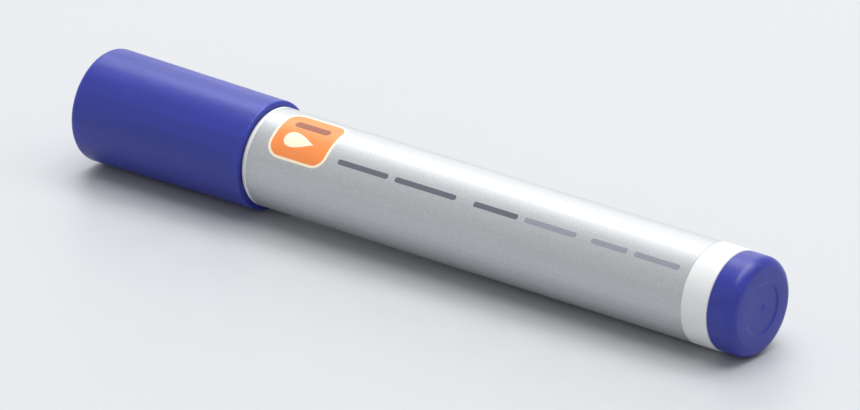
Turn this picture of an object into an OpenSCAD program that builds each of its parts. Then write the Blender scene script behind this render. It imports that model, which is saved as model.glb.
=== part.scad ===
// Felt tip marker for whiteboards: a capped, fibre-reservoir marker with a bullet nib.
// It lies on its side with its axis along X: cap towards -X, end plug towards +X.
// The origin is under the middle of the marker, on the surface that it lies on. Millimetres.
// Everything is turned about one axis, so most parts are outlines of [radius, x] points.

/* [Overall] */
// Length from the cap's closed end to the end plug's face
total_len = 136; // [130:1:142]
// Length of the cap
cap_len = 36; // [34:1:38]
// Height of the end plug's head beyond the barrel
plug_head_len = 5; // [4:0.5:6]

/* [Cap] */
// Outer diameter at the closed end, the widest place on the marker
cap_end_d = 19.6; // [19.2:0.1:20.4]
// Outer diameter at the mouth
cap_mouth_d = 18.8; // [18.4:0.1:19]
// Thickness of the cap's closed end
cap_end_wall = 1.3; // [1:0.1:2]
// Rounding of the closed end's outer edge
cap_edge_round = 1.6; // [1:0.1:2]
// Number of ribs inside the cap that centre the liner
cap_rib_count = 6; // [6:3:9]

/* [Barrel] */
// Outer diameter of the barrel tube
barrel_d = 17; // [16.8:0.1:17.2]
// Wall thickness of the barrel tube
barrel_wall = 1.2; // [1.1:0.1:1.3]
// Number of ribs that hold the reservoir clear of the barrel wall
barrel_rib_count = 6; // [4:1:8]
// Thickness of the label film, which lies flush in a shallow recess
label_film = 0.1; // [0.1:0.05:0.2]
// Width of the bare barrel ring between the label and the end plug
bare_ring = 5; // [3:0.5:8]

/* [Writing end] */
// Diameter of the felt nib
nib_d = 5; // [4.6:0.1:5.2]
// How far the nib's tip stands out of the nib holder
nib_reach = 5; // [4.5:0.5:5]
// Length of the nib holder in front of the barrel
holder_reach = 18.8; // [18:0.2:19]
// Diameter of the neck that the cap seals on
neck_d = 12.4; // [12.2:0.1:12.6]

/* [Reservoir] */
// Diameter of the fibre bundle
core_d = 12.6; // [12:0.1:12.6]
// Thickness of the film wrapped round the bundle
wrap_film = 0.15; // [0.1:0.05:0.15]

/* [Hidden] */

round_fn = 96;
small_fn = 64;
overlap = 0.2;          // how far joined shapes run into each other

// Places along the axis
cap_end_x = -total_len / 2;
cap_mouth_x = cap_end_x + cap_len;
tail_x = total_len / 2;
barrel_tail_x = tail_x - plug_head_len;
mouth_gap = 0.2;        // between the cap's mouth and the barrel's shoulder
barrel_front_x = cap_mouth_x + mouth_gap;
axis_z = cap_end_d / 2;

// Radii
barrel_r = barrel_d / 2;
bore_r = barrel_r - barrel_wall;
recess_r = barrel_r - label_film;
core_r = core_d / 2;
wrap_r = core_r + wrap_film;
nib_r = nib_d / 2;
neck_r = neck_d / 2;
press = 0.05;           // interference of a snap bead in the barrel's bore
running = 0.1;          // clearance between the cap and what it slides over

// Label
label_front_x = barrel_front_x + 0.8;
label_tail_x = barrel_tail_x - bare_ring;

// Nib holder
flange_len = 1.6;
flange_front_x = barrel_front_x - flange_len;
holder_front_x = barrel_front_x - holder_reach;
neck_front_x = flange_front_x - 8.6;
skirt_rear_x = barrel_front_x + 9.8;
guide_rear_x = barrel_front_x + 11.8;
guide_r = nib_r + 1.1;
holder_wall = 1.2;
nose_r = nib_r + 1.3;
bead_x = flange_front_x - 3.8;
bead_half = 0.8;
bead_r = neck_r + 0.2;

// Nib and reservoir
nib_tip_x = holder_front_x - nib_reach;
nib_rear_x = guide_rear_x + 4.5;
core_front_x = guide_rear_x;
core_rear_x = barrel_tail_x - 9;

// End plug
plug_r = barrel_r - 0.1;
plug_round = 1.8;
plug_stem_x = barrel_tail_x - 8;
plug_stem_wall = 1.1;
plug_face_wall = 1.4;
dish_r = 4.4;
dish_depth = 0.25;

// Cap
cap_end_r = cap_end_d / 2;
cap_mouth_r = cap_mouth_d / 2;
flange_r = cap_mouth_r - 1.35;
cap_bore_mouth_r = flange_r + running;
cap_bore_end_r = cap_end_r - 1.3;
cap_floor_x = cap_end_x + cap_end_wall;
rib_w = 0.9;
cap_rib_front_x = cap_mouth_x - 4.5;

// Cap liner
liner_wall = 0.85;
liner_bore_r = bead_r + 0.08;
liner_r = liner_bore_r + liner_wall;
liner_mouth_x = flange_front_x - 1;
liner_cone_x = neck_front_x - 0.2;
liner_step_x = liner_cone_x - 1;
liner_nose_x = liner_cone_x - 8;
liner_nose_r = nib_r + 2.7;
liner_end_x = nib_tip_x - 2;
liner_step = 0.45;      // drop of the liner's outside at its step
liner_ledge = 0.35;     // how far the cap's ribs reach in behind the liner's step

// Air vents in the cap's closed end, arcs between the ribs
vent_count = 3;
vent_r_in = 6.5;
vent_w = 0.8;
vent_arc = 360 / cap_rib_count - 16;
groove_margin = 0.25;
groove_depth = 0.5;

// Points of an arc of radius r about the centre c, from angle a0 to a1
function arc(c, r, a0, a1, steps = 6) = [
    for (i = [0:steps])
        let (a = a0 + (a1 - a0) * i / steps)
        [c[0] + r * cos(a), c[1] + r * sin(a)]
];

// Stands children, built about Z, on the marker's axis: their Z becomes X
module on_axis() {
    translate([0, 0, axis_z])
        rotate([0, 90, 0])
            children();
}

// A solid turned about the marker's axis from an outline of [radius, x] points
module turned(outline, fn = round_fn) {
    on_axis()
        rotate_extrude($fn = fn)
            polygon(outline);
}

// A tube on the marker's axis
module tube(r_in, r_out, x0, x1) {
    turned([[r_in, x0], [r_out, x0], [r_out, x1], [r_in, x1]]);
}

// A rod on the marker's axis
module rod(r, x0, x1, fn = round_fn) {
    on_axis()
        translate([0, 0, x0])
            cylinder(r = r, h = x1 - x0, $fn = fn);
}

// Flat blades from the axis out to r_out, spread evenly round it
module blades(count, r_out, w, x0, x1, turn = 0) {
    on_axis()
        for (i = [0:count - 1])
            rotate([0, 0, turn + 360 * i / count])
                translate([0, -w / 2, x0])
                    cube([r_out, w, x1 - x0]);
}

// Ribs whose inner and outer faces are round about the marker's axis
module round_ribs(count, r_in, r_out, w, x0, x1, turn = 0) {
    intersection() {
        blades(count, r_out + 1, w, x0 - 1, x1 + 1, turn);
        tube(r_in, r_out, x0, x1);
    }
}

// The white tube that everything else is pressed into
module barrel() {
    edge = 0.25;
    color("white") {
        turned([
            [bore_r + edge, barrel_front_x],
            [barrel_r - edge, barrel_front_x],
            [barrel_r, barrel_front_x + edge],
            [barrel_r, label_front_x],
            [recess_r, label_front_x],
            [recess_r, label_tail_x],
            [barrel_r, label_tail_x],
            [barrel_r, barrel_tail_x - edge],
            [barrel_r - edge, barrel_tail_x],
            [bore_r + edge, barrel_tail_x],
            [bore_r, barrel_tail_x - edge],
            [bore_r, barrel_front_x + edge]
        ]);
        round_ribs(barrel_rib_count, wrap_r, bore_r + overlap, rib_w,
            guide_rear_x + 1, core_rear_x - 1, 30);
    }
}

// The printed silver film round the barrel
module label() {
    color("silver")
        tube(recess_r, barrel_r, label_front_x, label_tail_x);
}

// The domed plug that closes the barrel and presses on the reservoir
module end_plug() {
    chamfer = 0.4;
    stem_bore = bore_r - plug_stem_wall;
    roof_x = tail_x - plug_face_wall;
    color([0.2, 0.23, 0.6]) {
        difference() {
            turned(concat(
                [
                    [0, plug_stem_x],
                    [bore_r - chamfer, plug_stem_x],
                    [bore_r, plug_stem_x + chamfer],
                    [bore_r, plug_stem_x + 2.4],
                    [bore_r + press, plug_stem_x + 2.8],
                    [bore_r + press, plug_stem_x + 3.6],
                    [bore_r, plug_stem_x + 4],
                    [bore_r, barrel_tail_x],
                    [plug_r - chamfer / 2, barrel_tail_x],
                    [plug_r, barrel_tail_x + chamfer / 2]
                ],
                arc([plug_r - plug_round, tail_x - plug_round], plug_round, 0, 90),
                [
                    [dish_r, tail_x],
                    [dish_r - dish_depth, tail_x - dish_depth],
                    [0, tail_x - dish_depth]
                ]
            ));
            rod(stem_bore, plug_stem_x - 1, roof_x);
        }
        intersection() {
            blades(4, stem_bore + overlap, rib_w, core_rear_x, roof_x + overlap);
            rod(stem_bore + overlap, core_rear_x, roof_x + overlap);
        }
    }
}

// The white front piece: a stem in the barrel, a flange, the sealing neck and the nose
module nib_holder() {
    chamfer = 0.4;
    hollow_r = neck_r - holder_wall;
    skirt_bore = bore_r - holder_wall;
    groove = 0.5;
    color("whitesmoke")
        difference() {
            turned([
                [nib_r, holder_front_x],
                [nose_r - chamfer, holder_front_x],
                [nose_r, holder_front_x + chamfer],
                [nose_r, holder_front_x + 1.2],
                [neck_r, neck_front_x],
                [neck_r, bead_x - bead_half],
                [bead_r - 0.06, bead_x - bead_half / 2],
                [bead_r, bead_x],
                [bead_r - 0.06, bead_x + bead_half / 2],
                [neck_r, bead_x + bead_half],
                [neck_r, flange_front_x],
                [flange_r - chamfer, flange_front_x],
                [flange_r, flange_front_x + chamfer],
                [flange_r, barrel_front_x],
                [bore_r, barrel_front_x],
                [bore_r, skirt_rear_x - 4],
                [bore_r + press, skirt_rear_x - 3.6],
                [bore_r + press, skirt_rear_x - 2.8],
                [bore_r, skirt_rear_x - 2.4],
                [bore_r, skirt_rear_x - chamfer],
                [bore_r - chamfer, skirt_rear_x],
                [guide_r, skirt_rear_x],
                [guide_r, guide_rear_x],
                [nib_r, guide_rear_x]
            ]);
            // hollow round the nib's guide tube, crossed by four webs
            difference() {
                turned([
                    [guide_r, neck_front_x - 3],
                    [hollow_r, neck_front_x + 0.8],
                    [hollow_r, flange_front_x + 1],
                    [skirt_bore, barrel_front_x + 1],
                    [skirt_bore, skirt_rear_x + 1],
                    [guide_r, skirt_rear_x + 1]
                ]);
                blades(4, bore_r, rib_w, neck_front_x - 4, skirt_rear_x - 2, 45);
            }
            // grooves that let air back along the nib
            blades(4, nib_r + groove, groove, holder_front_x - 1, guide_rear_x + 1);
        }
}

// The bullet-shaped felt nib, which runs back into the reservoir
module nib() {
    point_r = 1.3;
    cone_angle = 22;
    point_x = nib_tip_x + point_r;
    cone_len = (nib_r - point_r * cos(cone_angle)) / tan(cone_angle);
    color([0.12, 0.13, 0.35])
        turned(concat(
            [
                [0, nib_rear_x],
                [nib_r - 0.5, nib_rear_x],
                [nib_r, nib_rear_x - 1],
                [nib_r, point_x - point_r * sin(cone_angle) + cone_len]
            ],
            arc([0, point_x], point_r, -cone_angle, -90)
        ), small_fn);
}

// The fibre bundle that holds the ink, with a pocket for the nib's rear end
module reservoir_core() {
    color([0.25, 0.28, 0.6])
        difference() {
            rod(core_r, core_front_x, core_rear_x);
            rod(nib_r, core_front_x - 1, nib_rear_x, small_fn);
        }
}

// The clear film wrapped round the fibre bundle
module reservoir_wrap() {
    color([0.8, 0.85, 0.9])
        tube(core_r, wrap_r, core_front_x, core_rear_x);
}

// The outline of the cap's wall and closed end
module cap_wall() {
    lip = 0.4;
    inner_round = 0.8;
    turned(concat(
        [[0, cap_end_x]],
        arc([cap_end_r - cap_edge_round, cap_end_x + cap_edge_round],
            cap_edge_round, -90, 0),
        arc([cap_mouth_r - lip, cap_mouth_x - lip], lip, 0, 90, 3),
        [
            [cap_bore_mouth_r + lip / 2, cap_mouth_x],
            [cap_bore_mouth_r, cap_mouth_x - lip / 2],
            [cap_bore_mouth_r, flange_front_x - 1]
        ],
        arc([cap_bore_end_r - inner_round, cap_floor_x + inner_round],
            inner_round, 0, -90, 3),
        [[0, cap_floor_x]]
    ));
}

// The blue outer cap, which pulls off towards -X
module cap_shell() {
    color([0.2, 0.23, 0.62])
        difference() {
            union() {
                cap_wall();
                round_ribs(cap_rib_count, liner_r, cap_bore_end_r + overlap, rib_w,
                    liner_step_x - 1, cap_rib_front_x);
                round_ribs(cap_rib_count, liner_r - liner_ledge, cap_bore_end_r + overlap,
                    rib_w, cap_floor_x - overlap, liner_step_x);
            }
            // shallow ring groove in the closed end
            tube(vent_r_in - groove_margin, vent_r_in + vent_w + groove_margin,
                cap_end_x - 1, cap_end_x + groove_depth);
            // air vents through the closed end, each midway between two ribs
            for (i = [0:vent_count - 1])
                on_axis()
                    rotate([0, 0, 360 * i / vent_count + 180 / cap_rib_count - vent_arc / 2])
                        translate([0, 0, cap_end_x - 1])
                            rotate_extrude(angle = vent_arc, $fn = round_fn)
                                translate([vent_r_in, 0])
                                    square([vent_w, cap_end_wall + 2]);
        }
}

// The inner cup that seals round the holder's neck and the nib
module cap_liner() {
    round_r = 0.8;
    lead_in = 0.3;
    color([0.85, 0.88, 0.95])
        turned(concat(
            [[0, liner_end_x]],
            arc([liner_nose_r - round_r, liner_end_x + round_r], round_r, -90, 0, 3),
            [
                [liner_nose_r, liner_nose_x],
                [liner_r - liner_step, liner_step_x],
                [liner_r, liner_step_x],
                [liner_r, liner_mouth_x],
                [liner_bore_r + lead_in, liner_mouth_x],
                [liner_bore_r, liner_mouth_x - lead_in],
                [liner_bore_r, liner_cone_x],
                [liner_nose_r - liner_wall, liner_nose_x],
                [liner_nose_r - liner_wall, liner_end_x + 1],
                [0, liner_end_x + 1]
            ]
        ));
}

barrel();
label();
end_plug();
nib_holder();
nib();
reservoir_core();
reservoir_wrap();
cap_shell();
cap_liner();
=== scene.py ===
"""A capped whiteboard marker lying on a pale surface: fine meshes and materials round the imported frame.

Lengths in this script are millimetres until they reach a mesh, a light or the camera, and MM turns
them into metres. The marker's axis runs along X, cap towards -X, at height AXIS_Z.
"""

import math

import bmesh
import bpy
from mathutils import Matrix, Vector
from mathutils.geometry import delaunay_2d_cdt


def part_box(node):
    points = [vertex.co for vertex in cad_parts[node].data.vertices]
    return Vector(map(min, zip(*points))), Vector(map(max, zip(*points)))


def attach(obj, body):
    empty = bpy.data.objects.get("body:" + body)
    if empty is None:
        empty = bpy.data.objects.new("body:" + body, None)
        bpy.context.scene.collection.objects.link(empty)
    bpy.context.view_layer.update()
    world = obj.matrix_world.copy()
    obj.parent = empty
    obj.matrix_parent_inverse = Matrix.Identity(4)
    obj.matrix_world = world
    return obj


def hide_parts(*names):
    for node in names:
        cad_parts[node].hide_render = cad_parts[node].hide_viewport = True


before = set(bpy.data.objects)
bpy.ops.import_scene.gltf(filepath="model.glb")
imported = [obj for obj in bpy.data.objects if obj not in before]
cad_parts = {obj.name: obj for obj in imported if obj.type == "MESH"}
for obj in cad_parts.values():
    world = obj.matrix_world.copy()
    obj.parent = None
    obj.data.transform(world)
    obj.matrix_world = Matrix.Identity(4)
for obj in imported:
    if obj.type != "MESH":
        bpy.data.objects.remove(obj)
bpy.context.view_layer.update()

MM = 0.001
TURNS = 192             # sides of a turned surface
SHARP = math.radians(32)
WELD = 0.002            # points closer than this become one after a cut
ON_AXIS = 1e-6          # a smaller radius counts as none


# ---------------------------------------------------------------- sizes read from the frame


def ends(node):
    """A node's first and last x, in mm."""
    low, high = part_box(node)
    return low.x / MM, high.x / MM


def radius(node):
    """Half a round node's height, in mm."""
    low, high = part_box(node)
    return (high.z - low.z) / 2 / MM


CAP_END, CAP_MOUTH = ends("cap_shell")
BARREL_FRONT, BARREL_TAIL = ends("barrel")
LABEL_FRONT, LABEL_TAIL = ends("label")
HOLDER_FRONT, HOLDER_REAR = ends("nib_holder")
NIB_TIP, NIB_REAR = ends("nib")
LINER_END, LINER_MOUTH = ends("cap_liner")
WEB_FRONT, TAIL = ends("end_plug")

CAP_R = radius("cap_shell")
BARREL_R = radius("barrel")
PLUG_R = radius("end_plug")
FLANGE_R = radius("nib_holder")
NIB_R = radius("nib")
LINER_R = radius("cap_liner")
WRAP_R = radius("reservoir_wrap")
AXIS_Z = CAP_R

# walls and steps that the boxes don't give
CAP_MOUTH_R = 9.4
CAP_BORE_R = 8.15       # at the mouth
CAP_WALL = 1.3          # at the closed end
CAP_EDGE = 1.6          # rounding of the closed end
CAP_FLOOR = CAP_END + CAP_WALL
BORE_R = 7.3            # inside the barrel
RECESS_R = BARREL_R - 0.1
FILM = 0.09             # thickness of the label film, which leaves a hair of glue under it
NECK_R = 6.2
RIB = 0.9               # thickness of ribs and webs
RIBS = 6                # in the cap, and as many in the barrel


# ---------------------------------------------------------------- mesh helpers


def on_axis(x, r, angle):
    """The point at x along the marker, r from its axis, turned by angle from straight up towards -Y."""
    return Vector((x, -r * math.sin(angle), AXIS_Z + r * math.cos(angle))) * MM


def swung(arm, angle):
    """A flat vector turned by an angle."""
    cos, sin = math.cos(angle), math.sin(angle)
    return Vector((arm.x * cos - arm.y * sin, arm.x * sin + arm.y * cos))


def rounded(outline, closed):
    """An outline of (radius, x, rounding) points as plain points, each corner turned into an arc."""
    points = []
    count = len(outline)
    for i, (r, x, rounding) in enumerate(outline):
        corner = Vector((r, x))
        if rounding == 0 or (not closed and i in (0, count - 1)):
            points.append(corner)
            continue
        back = Vector(outline[i - 1][:2]) - corner
        ahead = Vector(outline[(i + 1) % count][:2]) - corner
        half = back.angle(ahead) / 2
        # an arc takes less than half of the edge on either side
        reach = min(rounding / math.tan(half), 0.48 * back.length, 0.48 * ahead.length)
        inward = (back.normalized() + ahead.normalized()).normalized()
        middle = corner + inward * (reach / math.cos(half))
        first = corner + back.normalized() * reach - middle
        last = corner + ahead.normalized() * reach - middle
        turn = first.angle_signed(last)
        steps = 3 + round(4 * rounding)     # a larger arc gets more points
        points += [middle + swung(first, -turn * step / steps) for step in range(steps + 1)]
    return points


def new_object(name, bm):
    """A linked object of a bmesh, with its normals pointing out."""
    bmesh.ops.recalc_face_normals(bm, faces=bm.faces)
    mesh = bpy.data.meshes.new(name)
    bm.to_mesh(mesh)
    bm.free()
    obj = bpy.data.objects.new(name, mesh)
    bpy.context.scene.collection.objects.link(obj)
    return obj


def lathe(name, outline, turns=TURNS):
    """A closed solid turned about the marker's axis from (radius, x, rounding) points.

    An outline that starts and ends on the axis is capped there, and any other is a closed ring.
    """
    ring = outline[0][0] > 0
    points = rounded(outline, closed=ring)
    bm = bmesh.new()
    rows = []
    for r, x in points:
        sides = turns if r > ON_AXIS else 1
        rows.append([bm.verts.new(on_axis(x, r, math.tau * k / sides)) for k in range(sides)])
    pairs = list(zip(rows, rows[1:] + rows[:1])) if ring else list(zip(rows, rows[1:]))
    for one, two in pairs:
        for k in range(turns):
            corners = [one[k % len(one)], one[(k + 1) % len(one)]]
            corners += [two[(k + 1) % len(two)], two[k % len(two)]]
            bm.faces.new(list(dict.fromkeys(corners)))
    return new_object(name, bm)


def block(r0, r1, x0, x1):
    """A rectangle's corners as (radius, x) points."""
    return [(r0, x0), (r1, x0), (r1, x1), (r0, x1)]


def prism(bm, one, two):
    """Adds a solid between two outlines of the same number of points."""
    one = [bm.verts.new(p) for p in one]
    two = [bm.verts.new(p) for p in two]
    bm.faces.new(one)
    bm.faces.new(two)
    for i in range(len(one)):
        j = (i + 1) % len(one)
        bm.faces.new([one[i], one[j], two[j], two[i]])


def fins(count, outline, width, turn=0.0):
    """An object of flat fins spread evenly round the axis, from an outline of (radius, x) points."""
    bm = bmesh.new()
    for k in range(count):
        angle = turn + math.tau * k / count
        sides = [
            [on_axis(x, math.hypot(r, across), angle + math.atan2(across, r)) for r, x in outline]
            for across in (-width / 2, width / 2)
        ]
        prism(bm, *sides)
    return new_object("fins", bm)


def combine(target, other, operation):
    """Joins or cuts target with other, which is then removed."""
    change = target.modifiers.new(operation, "BOOLEAN")
    change.operation = operation
    change.solver = "EXACT"
    change.object = other
    apply_modifiers(target)
    bpy.data.objects.remove(other)
    bm = bmesh.new()
    bm.from_mesh(target.data)
    bmesh.ops.remove_doubles(bm, verts=bm.verts, dist=WELD * MM)
    bmesh.ops.dissolve_degenerate(bm, edges=bm.edges, dist=WELD * MM)
    bm.to_mesh(target.data)
    bm.free()


def apply_modifiers(obj):
    """Turns an object's modifiers into its mesh."""
    bpy.context.view_layer.update()
    graph = bpy.context.evaluated_depsgraph_get()
    mesh = bpy.data.meshes.new_from_object(obj.evaluated_get(graph))
    obj.modifiers.clear()
    obj.data = mesh


def soften(obj, angle=SHARP):
    """Smooth shading with sharp edges, flat faces kept flat."""
    obj.data.shade_smooth()
    obj.data.set_sharp_from_angle(angle=angle)
    weighted = obj.modifiers.new("normals", "WEIGHTED_NORMAL")
    weighted.keep_sharp = True


def finish_piece(obj, body, materials, node):
    """Gives a piece its materials and its body, and hides the node that it stands for."""
    for material in materials:
        obj.data.materials.append(material)
    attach(obj, body)
    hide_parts(node)


# ---------------------------------------------------------------- materials


class Nodes:
    """A material's node tree, with short calls to add and join nodes."""

    def __init__(self, name):
        self.material = bpy.data.materials.new(name)
        self.material.use_nodes = True
        self.tree = self.material.node_tree
        self.shader = self.tree.nodes["Principled BSDF"]
        self.place = self.add("ShaderNodeTexCoord").outputs["Object"]

    def add(self, kind, **inputs):
        """A new node, with some of its inputs given by name."""
        node = self.tree.nodes.new(kind)
        self.fill(node, inputs)
        return node

    def fill(self, node, inputs):
        """Sets a node's inputs, each a link or a constant."""
        for key, value in inputs.items():
            self.feed(node.inputs[key.replace("_", " ")], value)

    def feed(self, socket, value):
        """Links a value to a socket, or sets the socket to it if it is a constant."""
        if isinstance(value, bpy.types.NodeSocket):
            self.tree.links.new(value, socket)
        else:
            socket.default_value = value

    def noise(self, scale, detail=3.0, stretch=(1, 1, 1), roughness=0.55):
        """Noise over the object, in repeats per metre, stretched along its axes."""
        place = self.add("ShaderNodeMapping", Vector=self.place, Scale=stretch).outputs[0]
        made = self.add(
            "ShaderNodeTexNoise", Vector=place, Scale=scale, Detail=detail, Roughness=roughness
        )
        return made.outputs["Fac"]

    def band(self, value, low, high, out_low=0.0, out_high=1.0):
        """A value mapped from one range to another and held inside it."""
        made = self.add(
            "ShaderNodeMapRange",
            Value=value,
            From_Min=low,
            From_Max=high,
            To_Min=out_low,
            To_Max=out_high,
        )
        return made.outputs["Result"]

    def mix(self, share, one, two):
        """Two colours mixed by a share."""
        made = self.tree.nodes.new("ShaderNodeMix")
        made.data_type = "RGBA"
        self.feed(made.inputs["Factor"], share)
        colours = [s for s in made.inputs if s.type == "RGBA"]
        self.feed(colours[0], one)
        self.feed(colours[1], two)
        return next(s for s in made.outputs if s.type == "RGBA")

    def mean(self, one, two):
        """The mean of two values."""
        return self.math("MULTIPLY", self.math("ADD", one, two), 0.5)

    def math(self, operation, one, two=0.0):
        """Two values joined by an operation."""
        made = self.tree.nodes.new("ShaderNodeMath")
        made.operation = operation
        self.feed(made.inputs[0], one)
        self.feed(made.inputs[1], two)
        return made.outputs[0]

    def bump(self, height, distance, strength=1.0, after=None):
        """A bump of a height of 0 to 1 times a distance in mm."""
        made = self.add("ShaderNodeBump", Height=height, Distance=distance * MM, Strength=strength)
        if after is not None:
            self.feed(made.inputs["Normal"], after)
        return made.outputs["Normal"]

    def round_axis(self):
        """A point's place along the marker's axis, its distance from it and its angle round it."""
        place = self.add("ShaderNodeSeparateXYZ", Vector=self.place)
        across = place.outputs["Y"]
        height = self.math("SUBTRACT", place.outputs["Z"], AXIS_Z * MM)
        square = self.math("ADD", self.math("POWER", across, 2.0), self.math("POWER", height, 2.0))
        return place.outputs["X"], self.math("SQRT", square), self.math("ARCTAN2", across, height)

    def sink_marks_and_shade(self, count):
        """Narrow bands along the outer wall, one over each inner rib, the first straight down, for sink
        marks and their painted shade.
        """
        _, out, angle = self.round_axis()
        wave = self.math("COSINE", self.math("MULTIPLY", angle, float(count)))
        # none nearer to the axis than the outer wall
        wall = self.band(out, (CAP_MOUTH_R - 1.2) * MM, (CAP_MOUTH_R - 0.2) * MM)
        return self.math("MULTIPLY", wall, self.band(wave, 0.8, 1.0))

    def near_edge(self, edge_x, edge_r, full, gone):
        """1 as far as "full" mm from a round edge, falling to 0 at "gone" mm."""
        along, out, _ = self.round_axis()
        off_x = self.math("ABSOLUTE", self.math("SUBTRACT", along, edge_x * MM))
        off_r = self.math("ABSOLUTE", self.math("SUBTRACT", out, edge_r * MM))
        return self.band(self.math("ADD", off_x, off_r), full * MM, gone * MM, 1.0, 0.0)

    def scuffs(self, edge_x, edge_r):
        """Specks of wear that fade out away from a round edge."""
        specks = self.band(self.noise(1500, 4), 0.52, 0.7)
        return self.math("MULTIPLY", self.near_edge(edge_x, edge_r, 0.5, 2.6), specks)

    def set(self, **values):
        """Sets inputs of the material's shader by name."""
        self.fill(self.shader, values)


def rgb(red, green, blue):
    """A colour from sRGB numbers of 0 to 255."""
    linear = [
        c / 12.92 if c <= 0.04045 else ((c + 0.055) / 1.055) ** 2.4
        for c in (red / 255, green / 255, blue / 255)
    ]
    return (*linear, 1.0)


def shade(colour, factor):
    """A colour made lighter or darker."""
    return (*(c * factor for c in colour[:3]), 1.0)


def moulded_plastic(name, colour, roughness, depth, streaks=0.12, ribs=0, edges=(), stain=None):
    """Moulded polypropylene: faint flow lines along the axis, orange peel and fine handling marks.

    A depth of 0 to 1 lets light in under the surface. Sink marks, dented by a bump and darkened with
    painted shade, show over a number of ribs inside, the surface is scuffed near round edges, each given
    as its place along X and its radius, and a stain of ink may creep over one such edge.
    """
    n = Nodes(name)
    flow = n.noise(260, 4, (0.06, 1, 1))
    clouds = n.noise(45, 3)
    peel = n.noise(900, 2)
    marks = n.noise(620, 5, (0.12, 1, 0.6), 0.7)
    tint = n.mix(n.band(flow, 0.35, 0.68), shade(colour, 1 - streaks), shade(colour, 1 + streaks))
    tint = n.mix(
        n.math("MULTIPLY", n.band(clouds, 0.4, 0.7), 0.35), tint, shade(colour, 1 - 1.5 * streaks)
    )
    worn = n.band(marks, 0.54, 0.72, 0.0, 0.2)
    normal = n.bump(peel, 0.018)
    normal = n.bump(marks, 0.008, 1.0, normal)
    if ribs:
        sink_and_shade = n.sink_marks_and_shade(ribs)
        # painted shade: the colour is darkened over each rib, as the rib would shade the translucent
        # wall; the bump below is the real dent
        tint = n.mix(n.math("MULTIPLY", sink_and_shade, 0.4), tint, shade(colour, 0.72))
        normal = n.bump(n.math("SUBTRACT", 1.0, sink_and_shade), 0.03, 1.0, normal)
    for edge in edges:
        scuff = n.scuffs(*edge)
        tint = n.mix(n.math("MULTIPLY", scuff, 0.35), tint, shade(colour, 2.2))
        worn = n.math("ADD", worn, n.math("MULTIPLY", scuff, 0.2))
    if stain:
        creep = n.math("MULTIPLY", n.near_edge(*stain, 0.1, 1.5), n.band(n.noise(900, 3), 0.42, 0.6))
        tint = n.mix(n.math("MULTIPLY", creep, 0.55), tint, INK)
    rough = n.math("ADD", n.band(clouds, 0.3, 0.7, roughness - 0.04, roughness + 0.05), worn)
    n.set(Base_Color=tint, Roughness=rough, Normal=normal, IOR=1.49)
    n.set(Subsurface_Weight=depth, Subsurface_Scale=1.2 * MM, Subsurface_Radius=(0.6, 0.8, 1.6))
    return n.material


def label_film(name):
    """Satin silver-grey film: a fine metallic grain with slight lengthwise drawing."""
    n = Nodes(name)
    silver = rgb(190, 193, 196)
    grain = n.noise(5200, 2, (0.35, 1, 1))
    drawn = n.noise(900, 4, (0.02, 1, 1))
    clouds = n.noise(30, 2)
    tint = n.mix(n.band(grain, 0.3, 0.7), shade(silver, 0.9), shade(silver, 1.08))
    tint = n.mix(n.math("MULTIPLY", n.band(drawn, 0.35, 0.7), 0.3), tint, shade(silver, 0.82))
    rough = n.band(n.mean(clouds, drawn), 0.35, 0.65, 0.4, 0.47)
    normal = n.bump(drawn, 0.006)
    normal = n.bump(grain, 0.0015, 1.0, normal)
    n.set(Base_Color=tint, Roughness=rough, Normal=normal, Metallic=0.62)
    n.set(Coat_Weight=0.7, Coat_Roughness=0.25)
    return n.material


def print_ink(name, colour):
    """Printing ink on the film, with the film's grain showing faintly."""
    n = Nodes(name)
    grain = n.noise(4200, 2)
    blotch = n.noise(240, 3)
    tint = n.mix(n.band(grain, 0.3, 0.7), shade(colour, 0.93), shade(colour, 1.06))
    tint = n.mix(n.math("MULTIPLY", n.band(blotch, 0.4, 0.7), 0.25), tint, shade(colour, 0.86))
    n.set(
        Base_Color=tint,
        Roughness=n.band(blotch, 0.3, 0.7, 0.32, 0.42),
        Normal=n.bump(grain, 0.002),
    )
    return n.material


def felt(name, colour, fibre_scale):
    """Bonded fibre soaked with ink: fine fibres along the axis, with painted shade between them."""
    n = Nodes(name)
    fibres = n.noise(fibre_scale, 5, (0.07, 1, 1), 0.65)
    soak = n.noise(300, 3)
    # painted shade: the colour darkens between the fibres and lightens on them, following the noise that
    # bumps them
    tint = n.mix(n.band(fibres, 0.35, 0.65), shade(colour, 0.45), shade(colour, 1.5))
    tint = n.mix(n.math("MULTIPLY", n.band(soak, 0.4, 0.7), 0.4), tint, shade(colour, 0.6))
    n.set(
        Base_Color=tint,
        Roughness=n.band(soak, 0.3, 0.7, 0.55, 0.85),
        Normal=n.bump(fibres, 0.05),
    )
    n.set(Sheen_Weight=0.3, Sheen_Roughness=0.4)
    return n.material


INK = rgb(40, 46, 130)
CAP_BLUE = moulded_plastic(
    "cap_blue",
    rgb(42, 52, 152),
    0.32,
    0.3,
    ribs=RIBS,
    edges=((CAP_END, CAP_R), (CAP_MOUTH, CAP_MOUTH_R)),
)
PLUG_BLUE = moulded_plastic("plug_blue", rgb(42, 50, 150), 0.3, 0.3, edges=((TAIL, PLUG_R),))
BARREL_WHITE = moulded_plastic("barrel_white", rgb(224, 225, 227), 0.34, 0.25, 0.02)
HOLDER_WHITE = moulded_plastic(
    "holder_white", rgb(214, 216, 219), 0.38, 0.25, 0.025, stain=(HOLDER_FRONT, NIB_R)
)
LINER_MILKY = moulded_plastic("liner_milky", rgb(214, 220, 232), 0.4, 0.5, 0.03)
SILVER = label_film("label_silver")
ORANGE = print_ink("print_orange", rgb(238, 138, 70))
CREAM = print_ink("print_cream", rgb(250, 232, 206))
RUST = print_ink("print_rust", rgb(140, 68, 36))
GRAPHITE = print_ink("print_graphite", rgb(96, 97, 108))
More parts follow.
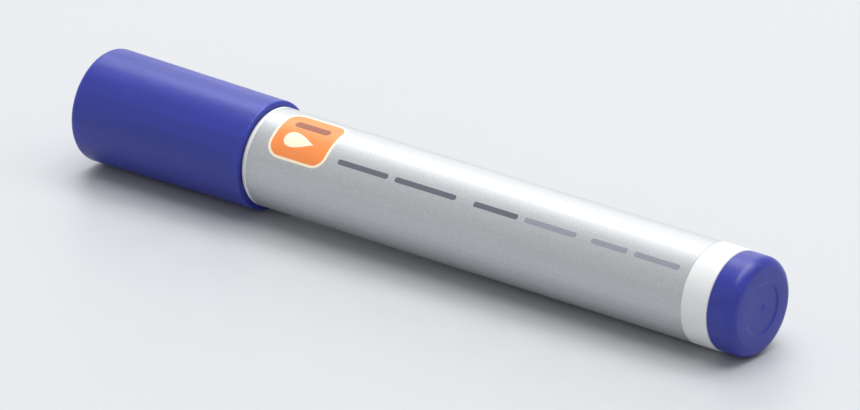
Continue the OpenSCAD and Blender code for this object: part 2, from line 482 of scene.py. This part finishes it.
SLATE = print_ink("print_slate", rgb(140, 142, 153))
NIB_FELT = felt("nib_felt", rgb(34, 38, 96), 5200)
CORE_FIBRE = felt("core_fibre", rgb(62, 72, 160), 3400)
WRAP_FILM = moulded_plastic("wrap_film", rgb(205, 214, 228), 0.22, 0.1, 0.04)


# ---------------------------------------------------------------- the barrel body


def barrel():
    """The white tube, with the label's recess and the ribs inside."""
    edge, shoulder = 0.22, 0.04     # roundings of the ends and of the recess's shoulders
    tube = lathe(
        "barrel_tube",
        [
            (BORE_R, BARREL_FRONT, edge),
            (BARREL_R, BARREL_FRONT, edge),
            (BARREL_R, LABEL_FRONT, shoulder),
            (RECESS_R, LABEL_FRONT, 0),
            (RECESS_R, LABEL_TAIL, 0),
            (BARREL_R, LABEL_TAIL, shoulder),
            (BARREL_R, BARREL_TAIL, edge),
            (BORE_R, BARREL_TAIL, edge),
        ],
    )
    # the ribs run from inside the wall to the wrap, and stop short of the holder and the plug
    rib = block(WRAP_R, BORE_R + 0.3, HOLDER_REAR + 1, WEB_FRONT - 1)
    combine(tube, fins(RIBS, rib, RIB, math.pi / RIBS), "UNION")
    soften(tube)
    finish_piece(tube, "barrel", [BARREL_WHITE], "barrel")


def end_plug():
    """The blue plug: a rounded head with a shallow dish and gate mark, a hollow stem and cross webs."""
    stem_bore = BORE_R - 1.1
    stem_front = BARREL_TAIL - 8
    lead_in = 0.4       # the slope at the stem's front
    roof = TAIL - 1.4   # the inner face of the head
    dish_x = TAIL - 0.25
    gate_x = TAIL - 0.4
    plug = lathe(
        "end_plug_moulding",
        [
            (0, roof, 0),
            (stem_bore, roof, 0.5),
            (stem_bore, stem_front, 0.2),
            (BORE_R - lead_in, stem_front, 0.1),
            (BORE_R, stem_front + lead_in, 0.1),
            (BORE_R, BARREL_TAIL, 0),
            (PLUG_R, BARREL_TAIL, 0.25),
            (PLUG_R, TAIL, 1.8),
            (4.5, TAIL, 0.3),
            (4.1, dish_x, 0.3),
            (0.9, dish_x, 0.15),
            (0.6, gate_x, 0.15),
            (0, gate_x, 0),
        ],
    )
    # two crossed webs, which run a little way into the stem and the head
    web = block(-stem_bore - 0.2, stem_bore + 0.2, WEB_FRONT, roof + 0.2)
    for turn in (0, math.radians(90)):
        combine(plug, fins(1, web, RIB, turn), "UNION")
    soften(plug)
    finish_piece(plug, "barrel", [PLUG_BLUE], "end_plug")


def nib_holder():
    """The white front piece, seen with the cap off: flange, neck with its seal bead, and nose."""
    flange_front = BARREL_FRONT - 1.6
    neck_front = flange_front - 8.6
    bead = flange_front - 3.8
    nose_r = NIB_R + 1.3
    guide_r = NIB_R + 1.1
    stem_rear = BARREL_FRONT + 9.8
    wall = 1.2
    holder = lathe(
        "nib_holder_moulding",
        [
            (NIB_R, HOLDER_FRONT, 0.15),
            (nose_r, HOLDER_FRONT, 0.4),
            (nose_r, HOLDER_FRONT + 1.2, 0.6),
            (NECK_R, neck_front, 0.8),
            (NECK_R, bead - 0.8, 0.2),
            (NECK_R + 0.2, bead, 0.5),
            (NECK_R, bead + 0.8, 0.2),
            (NECK_R, flange_front, 0.25),
            (FLANGE_R, flange_front, 0.35),
            (FLANGE_R, BARREL_FRONT, 0.15),
            (BORE_R, BARREL_FRONT, 0),
            (BORE_R, stem_rear, 0.4),
            (BORE_R - wall, stem_rear, 0.2),
            (BORE_R - wall, BARREL_FRONT + 1, 0.3),
            (NECK_R - wall, flange_front + 1, 0.3),
            (NECK_R - wall, neck_front + 0.8, 0.5),
            (guide_r, neck_front - 3, 0.2),
            (guide_r, HOLDER_REAR, 0.2),
            (NIB_R, HOLDER_REAR, 0.2),
        ],
    )
    # webs between the guide tube and the wall, running a little way into both
    web_in, web_rear = guide_r - 0.3, stem_rear - 2
    web = [
        (web_in, neck_front - 2),
        (NECK_R - 1, neck_front + 1),
        (NECK_R - 1, flange_front + 0.8),
        (BORE_R - 1, BARREL_FRONT + 0.8),
        (BORE_R - 1, web_rear),
        (web_in, web_rear),
    ]
    webs = 4
    combine(holder, fins(webs, web, RIB, math.pi / webs), "UNION")
    # air grooves along the nib, midway between the webs
    groove = block(NIB_R - 0.6, NIB_R + 0.5, HOLDER_FRONT - 1, HOLDER_REAR + 1)
    combine(holder, fins(webs, groove, 0.5), "DIFFERENCE")
    soften(holder)
    finish_piece(holder, "barrel", [HOLDER_WHITE], "nib_holder")


def nib():
    """The felt rod: a bullet point and a shank, both finely roughened."""
    point_r = 1.3
    slope = math.radians(22)
    cone_r = point_r * math.cos(slope)
    cone_front = NIB_TIP + point_r * (1 - math.sin(slope))
    cone_rear = cone_front + (NIB_R - cone_r) / math.tan(slope)
    outline = [(0, NIB_TIP, 0)]
    tip_steps = 8
    for k in range(1, tip_steps + 1):
        a = (math.pi / 2 - slope) * k / tip_steps
        outline.append((point_r * math.sin(a), NIB_TIP + point_r * (1 - math.cos(a)), 0))
    cone_rows = 10
    for k in range(1, cone_rows + 1):
        share = k / cone_rows
        outline.append(
            (cone_r + (NIB_R - cone_r) * share, cone_front + (cone_rear - cone_front) * share, 0)
        )
    shank_rows = 24
    shank_rear = NIB_REAR - 1
    for k in range(1, shank_rows + 1):
        outline.append((NIB_R, cone_rear + (shank_rear - cone_rear) * k / shank_rows, 0))
    outline += [(NIB_R - 0.5, NIB_REAR, 0), (0, NIB_REAR, 0)]
    felt_nib = lathe("nib_felt_rod", outline, turns=144)
    fibres = bpy.data.textures.new("nib_fibres", "CLOUDS")
    fibres.noise_scale = 0.28 * MM
    fibres.noise_depth = 2
    rough = felt_nib.modifiers.new("fibres", "DISPLACE")
    rough.texture = fibres
    rough.texture_coords = "LOCAL"
    rough.mid_level = 0.75      # so that it mostly lowers the surface
    rough.strength = 0.09 * MM
    apply_modifiers(felt_nib)
    soften(felt_nib, math.radians(60))
    finish_piece(felt_nib, "barrel", [NIB_FELT], "nib")


# ---------------------------------------------------------------- the label and its print


SEAM = math.radians(207)            # where the film starts, from straight up towards -Y
OVERLAP = 2.4                       # how far the film's end laps over its start
LIFT = FILM + 0.01                  # how far it climbs to do so
CLIMB_START, CLIMB = 1.2, 1.0       # how long before its first round ends, and over what length
LABEL_ROUND = math.tau * BARREL_R
LABEL_GAP = 0.05                    # between the film's ends and the recess's shoulders
STRIP = 0.75                        # width of one flat strip of the film
INSIDE_ONLY = 1                     # the triangulation keeps only what its edges enclose
SAME_POINT = 1e-5                   # how near two of its points are to count as one
DROP_POINT = 1.5                    # how drawn out a drop's point is
DROP_FULL = 1.3                     # makes up for the width that the point takes away
FILM_LOOKS = [SILVER, ORANGE, CREAM, RUST, GRAPHITE, SLATE]
ON_SILVER, ON_ORANGE, ON_CREAM, ON_RUST, ON_GRAPHITE, ON_SLATE = range(len(FILM_LOOKS))


def rounded_box(x0, x1, s0, s1, corner, steps=8):
    """A rounded rectangle's outline on the unrolled film."""
    points = []
    for cx, cs, start in (
        (x1 - corner, s1 - corner, 0),
        (x0 + corner, s1 - corner, 90),
        (x0 + corner, s0 + corner, 180),
        (x1 - corner, s0 + corner, 270),
    ):
        for k in range(steps + 1):
            a = math.radians(start + 90 * k / steps)
            points.append((cx + corner * math.cos(a), cs + corner * math.sin(a)))
    return points


def drop(x0, x1, middle, width, steps=40):
    """An ink drop lying along X, with its point at x1."""
    half = (x1 - x0) / 2
    return [
        (
            (x0 + x1) / 2 + half * math.cos(a),
            middle + width / 2 * DROP_FULL * math.sin(a) * math.sin(a / 2) ** DROP_POINT,
        )
        for a in (math.tau * (k + 0.5) / steps for k in range(steps))
    ]


def turns_left(outline):
    """Whether an outline runs anticlockwise."""
    return sum(a[0] * b[1] - b[0] * a[1] for a, b in zip(outline, outline[1:] + outline[:1])) > 0


def around(degrees):
    """How far round the unrolled film a direction lies, from straight up towards -Y."""
    return (math.radians(degrees) - SEAM) % math.tau * BARREL_R


def print_shapes():
    """Each printed shape as (outline, material index), lower layers first."""
    # the patch with its pale outline, and a bar and a drop on it
    patch_front = LABEL_FRONT + 3.6
    patch_rear = patch_front + 11.2
    patch_mid = around(27)
    patch_half = 4.7
    patch_corner = 2.2
    shapes = []
    for grow, ink in ((0.45, ON_CREAM), (0, ON_ORANGE)):
        outline = rounded_box(
            patch_front - grow,
            patch_rear + grow,
            patch_mid - patch_half - grow,
            patch_mid + patch_half + grow,
            patch_corner + grow,
        )
        shapes.append((outline, ink))
    inset = 2.0
    left, right = patch_front + inset, patch_rear - inset
    shapes.append((rounded_box(left, right, patch_mid - 2.7, patch_mid - 1.3, 0.65), ON_RUST))
    shapes.append((drop(left, right - 1.2, patch_mid + 1.3, 3.2), ON_CREAM))

    # plain bars where the marker has its printed name, as (start, length, ink)
    line_front = LABEL_FRONT + 3
    line = around(45)
    bar_half = 0.95 / 2
    bar_corner = 0.42   # half of the bar's height or more would make the outline cross itself
    for start, length, ink in (
        (14.6, 10.4, ON_GRAPHITE),
        (26.4, 12.6, ON_GRAPHITE),
        (42.6, 9.0, ON_GRAPHITE),
        (53.0, 10.4, ON_SLATE),
        (66.4, 7.2, ON_SLATE),
        (75.0, 9.0, ON_SLATE),
    ):
        x0 = line_front + start
        bar = rounded_box(x0, x0 + length, line - bar_half, line + bar_half, bar_corner)
        shapes.append((bar, ink))

    # a block of fine bars on the far side, where the small print would be
    first_row, row_step = 232, 7    # degrees
    fine_half = 0.5 / 2
    for row in range(8):
        s = around(first_row + row_step * row)
        x = LABEL_FRONT + 9
        for k in range(9 - row % 3):
            length = 2.6 + 3.4 * ((3 * row + 5 * k) % 7) / 6
            bar = rounded_box(x, x + length, s - fine_half, s + fine_half, 0.22, steps=3)
            shapes.append((bar, ON_SLATE))
            x += length + 1.0
    return shapes


def film_radius(s):
    """The film's outer radius, which climbs over its own start at the end of the wrap."""
    climb = min(max((s - (LABEL_ROUND - CLIMB_START)) / CLIMB, 0.0), 1.0)
    return BARREL_R + LIFT * climb * climb * (3 - 2 * climb)


def label():
    """The film, with its print cut into its mesh so that every edge is crisp."""
    x0, x1 = LABEL_FRONT + LABEL_GAP, LABEL_TAIL - LABEL_GAP
    total = LABEL_ROUND + OVERLAP
    shapes = print_shapes()
    verts, edges, faces = [], [], []
    strips = math.ceil(total / STRIP)
    for k in range(strips + 1):
        s = total * k / strips
        verts += [Vector((x0, s)), Vector((x1, s))]
        edges.append((2 * k, 2 * k + 1))
    edges += [(0, 2 * strips), (1, 2 * strips + 1)]
    for outline, _ in shapes:
        start = len(verts)
        verts += [Vector(p) for p in outline]
        corners = list(range(start, len(verts)))
        # the triangulation takes an outline's inside to be on its left
        faces.append(corners if turns_left(outline) else corners[::-1])
    flat, _, triangles, _, _, origins = delaunay_2d_cdt(verts, edges, faces, INSIDE_ONLY, SAME_POINT)

    bm = bmesh.new()
    made = [bm.verts.new(on_axis(p.x, film_radius(p.y), SEAM + p.y / BARREL_R)) for p in flat]
    for corners, origin in zip(triangles, origins):
        face = bm.faces.new([made[i] for i in corners])
        face.material_index = shapes[max(origin)][1] if origin else ON_SILVER
    mesh = bpy.data.meshes.new("label_film")
    bm.to_mesh(mesh)
    bm.free()
    film = bpy.data.objects.new("label_film", mesh)
    bpy.context.scene.collection.objects.link(film)
    # the film thickens inwards from its printed face, so that has to face out
    if mesh.polygons[0].normal.dot(mesh.polygons[0].center - Vector((0, 0, AXIS_Z * MM))) < 0:
        mesh.flip_normals()
    thick = film.modifiers.new("thickness", "SOLIDIFY")
    thick.thickness = FILM * MM
    thick.offset = -1
    apply_modifiers(film)
    film.data.shade_smooth()
    film.data.set_sharp_from_angle(angle=SHARP)
    finish_piece(film, "barrel", FILM_LOOKS, "label")


# ---------------------------------------------------------------- the cap body


def cap_shell():
    """The blue cap: tapered, a rounded closed end with a groove, vents and gate mark, ribs inside."""
    floor_r = CAP_R - CAP_WALL
    gate_x = CAP_END + 0.18
    groove_in, groove_out, groove_x = 6.25, 7.55, CAP_END + 0.5
    shell = lathe(
        "cap_shell_moulding",
        [
            (0, gate_x, 0),
            (0.7, gate_x, 0.12),
            (1.0, CAP_END, 0.2),
            (groove_in, CAP_END, 0.15),
            (groove_in, groove_x, 0.12),
            (groove_out, groove_x, 0.12),
            (groove_out, CAP_END, 0.15),
            (CAP_R, CAP_END, CAP_EDGE),
            (CAP_MOUTH_R, CAP_MOUTH, 0.4),
            (CAP_BORE_R, CAP_MOUTH, 0.25),
            (CAP_BORE_R, LINER_MOUTH, 0.3),
            (floor_r, CAP_FLOOR, 0.8),
            (0, CAP_FLOOR, 0),
        ],
    )
    # the ribs hold the liner, and run a little way into the wall and the closed end
    rib_out = floor_r + 0.2
    rib_back = CAP_FLOOR - 0.2
    rib_front = CAP_MOUTH - 4.5
    step = LINER_MOUTH - 8.8
    ledge_r = LINER_R - 0.35
    rib = [
        (rib_out, rib_back),
        (ledge_r, rib_back),
        (ledge_r, step),
        (LINER_R, step),
        (LINER_R, rib_front),
        (rib_out, rib_front),
    ]
    combine(shell, fins(RIBS, rib, RIB), "UNION")
    combine(shell, vent_cutters(6.5, 7.3), "DIFFERENCE")
    soften(shell)
    finish_piece(shell, "cap", [CAP_BLUE], "cap_shell")


def vent_cutters(r_in, r_out):
    """Solids of three arc-shaped slots with round ends, right through the closed end between ribs."""
    bm = bmesh.new()
    mid, half = (r_in + r_out) / 2, (r_out - r_in) / 2
    spread = math.radians(22)       # half a slot's length round the axis, without its ends
    along, around_end = 16, 8       # flat sides of an arc and of a round end
    ends_x = (CAP_END - 1, CAP_FLOOR + 1)
    for k in range(3):
        # straight down is the first rib, as in the frame
        centre = math.pi + math.pi / RIBS + math.tau * k / 3
        outline = []
        for i in range(along + 1):
            outline.append((r_out, centre - spread + 2 * spread * i / along))
        for i in range(1, around_end):
            a = math.pi * i / around_end
            outline.append((mid + half * math.cos(a), centre + spread + half * math.sin(a) / mid))
        for i in range(along + 1):
            outline.append((r_in, centre + spread - 2 * spread * i / along))
        for i in range(1, around_end):
            a = math.pi * i / around_end
            outline.append((mid - half * math.cos(a), centre - spread - half * math.sin(a) / mid))
        prism(bm, *([on_axis(x, r, a) for r, a in outline] for x in ends_x))
    return new_object("vents", bm)


def cap_liner():
    """The milky inner cup that seals on the neck."""
    bore = NECK_R + 0.28
    cone = LINER_MOUTH - 7.8        # where the bore starts to narrow
    step = cone - 1
    nose_x = cone - 8               # and where it stops
    nose_r = NIB_R + 2.7
    nose_bore = nose_r - 0.85
    closed = LINER_END + 1
    liner = lathe(
        "cap_liner_moulding",
        [
            (0, LINER_END, 0),
            (nose_r, LINER_END, 0.8),
            (nose_r, nose_x, 0.8),
            (LINER_R - 0.45, step, 0.2),
            (LINER_R, step, 0.15),
            (LINER_R, LINER_MOUTH, 0.2),
            (bore, LINER_MOUTH, 0.3),
            (bore, cone, 0.8),
            (nose_bore, nose_x, 0.8),
            (nose_bore, closed, 0.5),
            (0, closed, 0),
        ],
    )
    soften(liner)
    finish_piece(liner, "cap", [LINER_MILKY], "cap_liner")


def inner_nodes():
    """The sealed inner pieces keep their CAD shapes and get their own materials."""
    for name, material in (("reservoir_core", CORE_FIBRE), ("reservoir_wrap", WRAP_FILM)):
        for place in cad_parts[name].material_slots:
            place.material = material


# ---------------------------------------------------------------- stage, lights and camera


def floor():
    """A plain pale surface, tilted to touch both the cap's edge and the tail."""
    n = Nodes("pale_surface")
    speckle = n.noise(160, 3)
    pale = rgb(182, 184, 187)
    n.set(
        Base_Color=n.mix(n.band(speckle, 0.35, 0.7), shade(pale, 0.985), pale),
        Roughness=n.band(speckle, 0.3, 0.7, 0.42, 0.5),
        Normal=n.bump(n.noise(700, 2), 0.01),
    )
    half = 3.5          # metres from the middle to each side
    # the tail is thinner than the cap, so a level floor would leave it hanging
    cap_foot = CAP_END + CAP_EDGE
    barrel_foot = BARREL_TAIL - 0.25
    slope = (CAP_R - BARREL_R) / (barrel_foot - cap_foot)
    middle = -slope * cap_foot * MM
    square = ((-half, -half), (half, -half), (half, half), (-half, half))
    mesh = bpy.data.meshes.new("pale_surface")
    mesh.from_pydata([(x, y, middle + slope * x) for x, y in square], [], [(0, 1, 2, 3)])
    mesh.materials.append(n.material)
    surface = bpy.data.objects.new("pale_surface", mesh)
    bpy.context.scene.collection.objects.link(surface)


def soft_sun(name, behind, spread, strength, aside=0):
    """A round soft source far away, its place and width in degrees.

    It lies behind the marker by an angle from overhead, turned aside towards the cap.
    """
    data = bpy.data.lights.new(name, "SUN")
    data.energy = strength
    data.angle = math.radians(spread)
    lamp = bpy.data.objects.new(name, data)
    lamp.rotation_euler = (-math.radians(behind), 0, math.radians(aside))
    bpy.context.scene.collection.objects.link(lamp)


def strip_light(name, place, size, power):
    """A rectangular light in the plane across the marker, aimed at its middle. Metres and watts."""
    data = bpy.data.lights.new(name, "AREA")
    data.shape = "RECTANGLE"
    data.size, data.size_y = size
    data.energy = power
    lamp = bpy.data.objects.new(name, data)
    lamp.location = (0, *place)
    lamp.rotation_euler.x = -math.atan2(place[0], place[1])
    bpy.context.scene.collection.objects.link(lamp)


def lights():
    """An overhead source, a weaker one low behind, a strip for the gloss and a pale surround."""
    soft_sun("overhead", 4, 50, 2.15)
    soft_sun("back", 62, 44, 0.32, 35)
    strip_light("strip", (0.36, 0.72), (1.5, 0.3), 4.0)
    world = bpy.data.worlds.new("surround")
    world.use_nodes = True
    tree = world.node_tree
    place = tree.nodes.new("ShaderNodeTexCoord")
    height = tree.nodes.new("ShaderNodeSeparateXYZ")
    ramp = tree.nodes.new("ShaderNodeValToRGB")
    tree.links.new(place.outputs["Generated"], height.inputs["Vector"])
    tree.links.new(height.outputs["Z"], ramp.inputs["Fac"])
    tree.links.new(ramp.outputs["Color"], tree.nodes["Background"].inputs["Color"])
    # (sine of the height, brightness): at the horizon it matches the floor's far edge
    stops = ((0.1, 0.64), (0.3, 0.66), (0.55, 0.74), (0.85, 0.4))
    while len(ramp.color_ramp.elements) < len(stops):
        ramp.color_ramp.elements.new(0.5)
    for stop, (position, level) in zip(ramp.color_ramp.elements, stops):
        stop.position = position
        stop.color = (0.99 * level, 0.995 * level, level, 1)
    bpy.context.scene.world = world


def camera():
    """The photograph's viewing angle, with a long lens so that the marker fills the frame."""
    azimuth, elevation = math.radians(37.8), math.radians(23.8)
    distance = 1.35     # metres
    back = Vector(
        (
            math.sin(azimuth) * math.cos(elevation),
            -math.cos(azimuth) * math.cos(elevation),
            math.sin(elevation),
        )
    )
    data = bpy.data.cameras.new("camera")
    data.lens = 345
    data.sensor_width = 36
    data.clip_start, data.clip_end = 0.05, 20
    cam = bpy.data.objects.new("camera", data)
    aim = Vector((0.001, 0, AXIS_Z * MM))   # 1 mm from the middle towards the tail
    cam.location = aim + back * distance
    cam.rotation_mode = "QUATERNION"
    cam.rotation_quaternion = (-back).to_track_quat("-Z", "Y")
    bpy.context.scene.collection.objects.link(cam)
    bpy.context.scene.camera = cam


camera()
barrel()
end_plug()
nib_holder()
nib()
label()
cap_shell()
cap_liner()
inner_nodes()
floor()
lights()
bpy.context.scene.view_settings.view_transform = "Standard"
